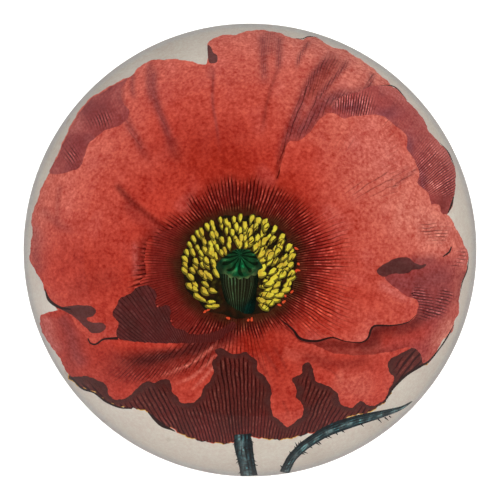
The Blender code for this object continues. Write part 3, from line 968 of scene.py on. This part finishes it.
# ------------------------------------------------------------------ the sheet's mesh
NET_SPAN, NET_EDGE = 0.965, 0.96  # half the net's width, and how far out it is kept
RINGS_START = 0.963
RING_STEP, RING_SPACING = 0.0007, 0.0009  # metres between rings and between a ring's points
MIDDLE_DARKER = 0.19  # how much darker the middle's paint is laid, as the dome lights it most


def scattered():
    """Points between the outlines: a hexagonal net set a little out of line, and rings near the rim."""
    rows = np.arange(-NET_SPAN, NET_SPAN, FACE_STEP * math.sqrt(3) / 2)
    net = []
    for i, y in enumerate(rows):
        x = np.arange(-NET_SPAN, NET_SPAN, FACE_STEP) + (i % 2) * FACE_STEP / 2
        net.append(np.stack([x, np.full(len(x), y)], 1))
    net = np.vstack(net)
    net += rng.uniform(-0.12, 0.12, net.shape) * FACE_STEP
    net = to_paper(net[np.hypot(net[:, 0], net[:, 1]) < NET_EDGE])
    first = float(np.interp(RINGS_START, SEEN, LANDS))
    rings = [net]
    for radius in np.arange(first, PAPER_RADIUS - 0.0003, RING_STEP):
        turn = np.arange(0, math.tau, RING_SPACING / radius)
        rings.append(np.stack([np.cos(turn), np.sin(turn)], 1) * radius)
    return np.vstack(rings)


def triangulate(layers):
    """Cuts the sheet along every outline: its points on the paper, its triangles and each one's layer."""
    points = [scattered()]
    faces, owners = [], []
    start = len(points[0])
    for number, (shapes, _) in enumerate(layers):
        for shape in shapes:
            ordered = shape if signed_area(shape) > 0 else shape[::-1]
            far = np.hypot(ordered[:, 0], ordered[:, 1])
            limit = PAGE_EDGE if number == 0 else SHAPE_EDGE
            ordered = ordered * np.minimum(1, limit / np.maximum(far, 1e-9))[:, None]
            points.append(to_paper(ordered))
            faces.append(list(range(start, start + len(shape))))
            owners.append(number)
            start += len(shape)
    flat_points = np.vstack(points) * MM
    made = geometry.delaunay_2d_cdt([Vector(p) for p in flat_points], [], faces, 1, 1e-4, True)
    vertices = np.array([tuple(v) for v in made[0]]) / MM
    kept, layer = [], []
    for triangle, sources in zip(made[2], made[5]):
        if len(triangle) == 3 and sources:
            kept.append(triangle)
            layer.append(owners[max(sources)])
    return vertices, np.array(kept), np.array(layer)


def paint(vertices, triangles, layer, layers):
    """Colour, ink, grain and line count at each corner of each triangle."""
    sheet = Sheet(to_view(vertices))
    laid = 1 - MIDDLE_DARKER * (1 - smooth(0.55, 0.97, sheet.out))
    corners = triangles.ravel()
    owner = np.repeat(layer, 3)
    centre_far = np.repeat(sheet.far[triangles].mean(1), 3)
    colour = np.zeros((len(corners), 3))
    ink, grain, count = (np.zeros(len(corners)) for _ in range(3))
    for number, (_, lay) in enumerate(layers):
        mine = owner == number
        if not mine.any():
            continue
        wash = lay(sheet)
        at = corners[mine]
        colour[mine] = wash.colour[at] * laid[at][:, None]
        ink[mine] = wash.ink[at]
        grain[mine] = wash.grain[at]
        first = np.repeat(wash.turn[at[::3]], 3)
        turn = first + np.angle(np.exp(1j * (wash.turn[at] - first)))
        times = 2.0 ** sum(centre_far[mine] > limit for limit in (*wash.doubled, 99))
        count[mine] = turn / math.tau * wash.count * times
    return colour, np.clip(ink, 0, 1), grain, count


def print_mesh():
    layers = drawing()
    vertices, triangles, layer = triangulate(layers)
    colour, ink, grain, count = paint(vertices, triangles, layer, layers)
    far = np.hypot(vertices[:, 0], vertices[:, 1])
    edge = np.flatnonzero(far > PAPER_RADIUS - 1e-6)
    edge = edge[np.argsort(np.arctan2(vertices[edge, 1], vertices[edge, 0]))]
    top = np.column_stack([vertices, np.full(len(vertices), PRINT_FACE)])
    low = np.column_stack([vertices[edge], np.full(len(edge), PAPER_LOW.z)])
    points = np.vstack([top, low, [[0, 0, PAPER_LOW.z]]])
    start, centre = len(top), len(top) + len(low)
    ring = np.arange(len(edge))
    after = np.roll(ring, -1)
    side_a = np.column_stack([edge[ring], start + ring, start + after])
    side_b = np.column_stack([edge[ring], start + after, edge[after]])
    under = np.column_stack([np.full(len(ring), centre), start + after, start + ring])
    rest = np.vstack([side_a, side_b, under])
    mesh = bpy.data.meshes.new("poppy_print_sheet")
    mesh.from_pydata(points.tolist(), [], np.vstack([triangles, rest]).tolist())
    extra = len(rest) * 3
    fields = (("ink", ink, 0.0), ("grain", grain, 0.16), ("lines", count, 0.5))
    for name, values, plain in fields:
        attribute = mesh.attributes.new(name, "FLOAT", "CORNER")
        attribute.data.foreach_set("value", np.append(values, np.full(extra, plain)).astype(np.float32))
    rgba = np.ones((len(colour) + extra, 4), np.float32)
    rgba[: len(colour), :3] = colour
    rgba[len(colour):, :3] = CREAM
    mesh.attributes.new("wash", "FLOAT_COLOR", "CORNER").data.foreach_set("color", rgba.ravel())
    add_map(mesh, points, len(triangles))
    return mesh


def add_map(mesh, points, top_count):
    """The bake's map: the printed face fills it, and the back and edge share a small disc in one corner."""
    loops = np.empty(len(mesh.loops), np.int32)
    mesh.loops.foreach_get("vertex_index", loops)
    place = points[loops][:, :2] / PAPER_RADIUS
    uv = 0.5 + place * 0.495
    rest = np.arange(len(loops)) >= top_count * 3
    uv[rest] = 0.08 + place[rest] * 0.07
    layer = mesh.uv_layers.new(name="OFBake")
    layer.uv.foreach_set("vector", uv.astype(np.float32).ravel())


# ------------------------------------------------------------------ materials
def new_material(name):
    material = bpy.data.materials.new(name)
    material.use_nodes = True
    tree = material.node_tree
    tree.nodes.clear()
    output = tree.nodes.new("ShaderNodeOutputMaterial")
    shader = tree.nodes.new("ShaderNodeBsdfPrincipled")
    tree.links.new(shader.outputs[0], output.inputs[0])
    return material, tree, shader


def feed(tree, plug, value):
    """Links a node's output to the input, or sets a plain value on it."""
    if isinstance(value, bpy.types.NodeSocket):
        tree.links.new(value, plug)
    else:
        plug.default_value = value


def node(tree, kind, **settings):
    """Adds a node. Each setting is one of its own values or one of its inputs: a number, a colour or a link.

    An input goes by its title, or by a letter and its place in the row of inputs.
    """
    made = tree.nodes.new("ShaderNode" + kind)
    for key, value in settings.items():
        title = key.replace("_", " ").title()
        if key[1:].isdigit():
            plug = made.inputs[int(key[1:])]
        elif title in made.inputs:
            plug = made.inputs[title]
        else:
            setattr(made, key, value)
            continue
        feed(tree, plug, value)
    return made


def maths(tree, operation, *values, clamp=False):
    made = node(tree, "Math", operation=operation, use_clamp=clamp)
    for plug, value in zip(made.inputs, values):
        feed(tree, plug, value)
    return made.outputs[0]


def blend_colours(tree, mode, amount, under, over):
    made = node(tree, "Mix", data_type="RGBA", blend_type=mode, clamp_factor=True)
    for place, value in ((0, amount), (6, under), (7, over)):
        feed(tree, made.inputs[place], value)
    return made.outputs[2]


def noise(tree, scale, detail=3.0, roughness=0.55):
    place = node(tree, "TexCoord").outputs["Object"]
    return node(tree, "TexNoise", vector=place, scale=scale, detail=detail, roughness=roughness).outputs[0]


def spread(tree, value, low, high):
    """A noise value stretched so that low becomes -1 and high 1."""
    made = node(tree, "MapRange", value=value, from_min=low, from_max=high, to_min=-1.0, to_max=1.0)
    return made.outputs[0]


def print_material():
    """Hand-coloured engraving on paper: mottled washes, ruled ink lines that swell with the shade."""
    material, tree, shader = new_material("printed_paper")

    def field(name, output="Fac"):
        return node(tree, "Attribute", attribute_name=name).outputs[output]

    wash, ink, grain, lines = field("wash", "Color"), field("ink"), field("grain"), field("lines")
    tooth = spread(tree, noise(tree, 2300, 2.0, 0.6), 0.30, 0.70)
    speckle = spread(tree, noise(tree, 1200, 2.0, 0.6), 0.32, 0.68)
    pools = spread(tree, noise(tree, 300, 4.0, 0.6), 0.30, 0.70)
    mottle = maths(tree, "MULTIPLY_ADD", tooth, 0.85, maths(tree, "MULTIPLY", speckle, 0.40))
    mottle = maths(tree, "MULTIPLY", maths(tree, "MULTIPLY_ADD", pools, 0.36, mottle), grain)
    deep = blend_colours(tree, "MULTIPLY", 1.0, wash, GRAIN_DEPTH)
    light = blend_colours(tree, "MULTIPLY", 1.0, wash, GRAIN_LIGHT)
    colour = blend_colours(tree, "MIX", maths(tree, "MULTIPLY", mottle, -0.75, clamp=True), wash, deep)
    colour = blend_colours(tree, "MIX", maths(tree, "MULTIPLY", mottle, 0.75, clamp=True), colour, light)
    wobble = maths(tree, "MULTIPLY", maths(tree, "SUBTRACT", noise(tree, 420, 2.0), 0.5), 0.8)
    ruled = maths(tree, "ADD", lines, wobble)
    number = maths(tree, "FLOOR", ruled)
    luck = node(tree, "TexWhiteNoise", noise_dimensions="1D", w=number).outputs["Value"]
    ridge = maths(tree, "ABSOLUTE", maths(tree, "MULTIPLY_ADD", maths(tree, "FRACT", ruled), 2.0, -1.0))
    own_ink = maths(tree, "MULTIPLY", ink, maths(tree, "MULTIPLY_ADD", luck, 0.5, 0.72))
    swell = maths(tree, "MULTIPLY_ADD", speckle, 0.10, own_ink)
    line = maths(tree, "MULTIPLY", maths(tree, "SUBTRACT", swell, ridge), 4.5)
    line = maths(tree, "ADD", line, 0.40, clamp=True)
    line = maths(tree, "MULTIPLY", line, maths(tree, "MULTIPLY", ink, 3.0, clamp=True))
    shaded = maths(tree, "MULTIPLY", maths(tree, "SUBTRACT", ink, 0.20), 3.0, clamp=True)
    gap = maths(tree, "MULTIPLY", maths(tree, "SUBTRACT", ridge, 0.55), 3.0, clamp=True)
    most = maths(tree, "MULTIPLY", grain, 1.4)
    fleck = maths(tree, "MULTIPLY", maths(tree, "MAXIMUM", speckle, 0.0), most)
    glint = maths(tree, "MULTIPLY", maths(tree, "MULTIPLY", gap, shaded), fleck, clamp=True)
    colour = blend_colours(tree, "MULTIPLY", glint, colour, GLINT_LIGHT)
    colour = blend_colours(tree, "MULTIPLY", line, colour, LINE_DEPTH)
    fibre = noise(tree, 5200, 3.0, 0.7)
    stains = noise(tree, 260, 1.0)
    foxing = node(tree, "MapRange", value=stains, from_min=0.73, from_max=0.80, to_max=0.3).outputs[0]
    foxing = maths(tree, "MULTIPLY", foxing, maths(tree, "LESS_THAN", grain, 0.3))
    colour = blend_colours(tree, "MIX", foxing, colour, FOXING_BROWN)
    thin = maths(tree, "MULTIPLY", fibre, 0.16)
    colour = blend_colours(tree, "MULTIPLY", thin, colour, FIBRE_DEPTH)
    tree.links.new(colour, shader.inputs["Base Color"])
    rough = maths(tree, "MULTIPLY_ADD", fibre, 0.15, 0.62)
    tree.links.new(rough, shader.inputs["Roughness"])
    shader.inputs["Specular IOR Level"].default_value = 0.0
    bump = node(tree, "Bump", strength=0.15, distance=0.00003, height=fibre)
    tree.links.new(bump.outputs[0], shader.inputs["Normal"])
    return material


def glass_material():
    """Polished clear glass."""
    material, _, shader = new_material("clear_glass")
    shader.inputs["Base Color"].default_value = (1.0, 1.0, 1.0, 1)
    shader.inputs["Roughness"].default_value = 0.0
    shader.inputs["IOR"].default_value = GLASS_INDEX
    shader.inputs["Transmission Weight"].default_value = 1.0
    return material


def felt_material():
    material, tree, shader = new_material("felt")
    fuzz = noise(tree, 2600, 6.0, 0.75)
    tufts = noise(tree, 420, 4.0, 0.6)
    shade = maths(tree, "ADD", maths(tree, "MULTIPLY", fuzz, 0.9), maths(tree, "MULTIPLY", tufts, 0.5))
    colour = blend_colours(tree, "MIX", maths(tree, "SUBTRACT", shade, 0.25, clamp=True),
                           FELT_DARK, FELT_PALE)
    tree.links.new(colour, shader.inputs["Base Color"])
    tree.links.new(maths(tree, "MULTIPLY_ADD", fuzz, 0.1, 0.88), shader.inputs["Roughness"])
    shader.inputs["Sheen Weight"].default_value = 0.35
    shader.inputs["Sheen Roughness"].default_value = 0.5
    bump = node(tree, "Bump", strength=0.7, distance=0.0002, height=fuzz)
    tree.links.new(bump.outputs[0], shader.inputs["Normal"])
    return material


def first_mirrored(tree, depth=1):
    """1 for a ray that comes straight off the outside of a polished surface, otherwise 0."""
    path = node(tree, "LightPath").outputs
    early = maths(tree, "LESS_THAN", path["Ray Depth"], depth + 0.5)
    return maths(tree, "MULTIPLY", path["Is Glossy Ray"], early)


def floor_material():
    """A white light table: matt, and lit a little from below so that it stays white round the dome.

    Polished glass mirrors it as bright only close to the dome, as from there on the room is dim.
    """
    material, tree, shader = new_material("studio_floor")
    mirrored = first_mirrored(tree)
    place = node(tree, "TexCoord").outputs["Object"]
    far = node(tree, "VectorMath", operation="LENGTH", v0=place).outputs["Value"]
    room = node(tree, "MapRange", value=far, from_min=DOME_RADIUS + BAND_START,
                from_max=DOME_RADIUS + BAND_END, to_min=BAND_WHITE, to_max=ROOM_LOW).outputs[0]
    white = blend_colours(tree, "MIX", noise(tree, 30, 3.0), TABLE_DIM, TABLE_WHITE)
    colour = blend_colours(tree, "MIX", mirrored, white, room)
    tree.links.new(colour, shader.inputs["Base Color"])
    shader.inputs["Roughness"].default_value = 0.9
    shader.inputs["Specular IOR Level"].default_value = 0.0
    shader.inputs["Emission Color"].default_value = (1, 1, 1, 1)
    glow = maths(tree, "MULTIPLY_ADD", mirrored, -FLOOR_GLOW, FLOOR_GLOW)
    tree.links.new(glow, shader.inputs["Emission Strength"])
    return material


# ------------------------------------------------------------------ pieces
def add_piece(name, mesh, material):
    mesh.materials.append(material)
    piece = bpy.data.objects.new(name, mesh)
    bpy.context.scene.collection.objects.link(piece)
    return piece


def turned_mesh(name, profile, steps):
    """A half profile, top to bottom and closed on the axis at both ends, turned about Z."""
    turn = np.arange(steps) * math.tau / steps
    ring = np.stack([np.cos(turn), np.sin(turn)], 1)
    middle = profile[1:-1]
    points = [[0, 0, profile[0][1]]]
    for x, z in middle:
        points += np.column_stack([ring * x, np.full(steps, z)]).tolist()
    points.append([0, 0, profile[-1][1]])
    faces = []
    last = len(points) - 1
    for k in range(steps):
        n = (k + 1) % steps
        faces.append((0, 1 + k, 1 + n))
        for row in range(len(middle) - 1):
            a, b = 1 + row * steps, 1 + (row + 1) * steps
            faces.append((a + k, b + k, b + n, a + n))
        bottom = 1 + (len(middle) - 1) * steps
        faces.append((bottom + k, last, bottom + n))
    mesh = bpy.data.meshes.new(name)
    mesh.from_pydata(points, [], faces)
    mesh.shade_smooth()
    return mesh


def arc(cx, cz, radius, start, end, steps):
    turn = np.linspace(start, end, steps + 1)
    return [(cx + radius * math.cos(a), cz + radius * math.sin(a)) for a in turn]


def build_glass():
    rim_x, rim_z = DOME_RADIUS - RIM_ROUND, GLASS_BASE + RIM_ROUND
    meet = math.atan2(rim_z - SPHERE_Z, rim_x)
    side = arc(0, SPHERE_Z, SPHERE_RADIUS, math.pi / 2, meet, 110)
    rim = arc(rim_x, rim_z, RIM_ROUND, meet, -math.pi / 2, 14)
    inner = [(rim_x * share, GLASS_BASE) for share in (0.998, 0.99, 0.5)]
    profile = [(0, DOME_TOP)] + side[1:] + rim[1:] + inner + [(0, GLASS_BASE)]
    mesh = turned_mesh("glass_dome_body", profile, 256)
    mesh.set_sharp_from_angle(angle=math.radians(50))
    glass = add_piece("glass_dome_clear", mesh, glass_material())
    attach(glass, "root")
    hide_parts("glass_dome")
    return glass


def build_print():
    sheet = add_piece("poppy_print_paper", print_mesh(), print_material())
    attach(sheet, "root")
    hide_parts("poppy_print")
    return sheet


def build_felt():
    """A disc cut from felt: its cut edge is a little uneven and fuzzy, and its face lies flat."""
    top = FELT_HIGH.z + GLUE
    edge = 0.0004
    profile = [(0, top)] + arc(FELT_RADIUS - edge, top - edge, edge, math.pi / 2, 0, 5)
    profile += arc(FELT_RADIUS - edge, edge, edge, 0, -math.pi / 2, 5)
    profile += [(FELT_RADIUS * share, 0) for share in (0.97, 0.8, 0.5, 0.25)] + [(0, 0)]
    mesh = turned_mesh("felt_pad_disc", profile, 720)
    fuzz = np.random.default_rng(5)
    for vertex in mesh.vertices:
        x, y, z = vertex.co
        far = math.hypot(x, y)
        if far > FELT_RADIUS - 1.5 * edge:
            turn = math.atan2(y, x)
            waver = 0.00005 * math.sin(turn * 23) + 0.00004 * math.sin(turn * 61 + 2) - 0.00010
            share = (far + waver + fuzz.uniform(-0.00005, 0.00005)) / far
            vertex.co.x, vertex.co.y = x * share, y * share
    pad = add_piece("felt_pad_disc", mesh, felt_material())
    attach(pad, "root")
    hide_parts("felt_pad")
    return pad


# ------------------------------------------------------------------ floor, light and camera
def build_floor():
    size = 6.0
    corners = [(-size, -size, 0), (size, -size, 0), (size, size, 0), (-size, size, 0)]
    mesh = bpy.data.meshes.new("floor")
    mesh.from_pydata(corners, [], [(0, 1, 2, 3)])
    floor = add_piece("floor", mesh, floor_material())


def build_light():
    """Soft light from all round. Polished surfaces mirror a dimmer room that is dark straight above."""
    world = bpy.data.worlds.new("studio")
    bpy.context.scene.world = world
    world.use_nodes = True
    tree = world.node_tree
    tree.nodes.clear()
    output = tree.nodes.new("ShaderNodeOutputWorld")
    background = tree.nodes.new("ShaderNodeBackground")
    tree.links.new(background.outputs[0], output.inputs[0])
    height = node(tree, "SeparateXYZ", vector=node(tree, "TexCoord").outputs["Generated"]).outputs["Z"]
    room = node(tree, "MapRange", value=height, from_min=0.15, from_max=0.85,
                to_min=ROOM_LOW, to_max=ROOM_HIGH)
    mirrored = first_mirrored(tree, depth=2)  # a background counts itself as one step further
    both = blend_colours(tree, "MIX", mirrored, (SKY, SKY, SKY, 1), room.outputs[0])
    tree.links.new(both, background.inputs[0])


def build_camera():
    camera = bpy.data.cameras.new("camera")
    camera.sensor_width = SENSOR
    camera.lens = SENSOR / 2 / (OUTLINE_TANGENT / FRAME_FILL)
    camera.clip_start = 0.01
    camera.clip_end = 20.0
    holder = bpy.data.objects.new("camera", camera)
    holder.location = (0, 0, CAMERA_HEIGHT)
    bpy.context.scene.collection.objects.link(holder)
    bpy.context.scene.camera = holder


build_floor()
build_light()
build_camera()
build_felt()
build_print()
build_glass()
bpy.context.scene.view_settings.view_transform = "Standard"
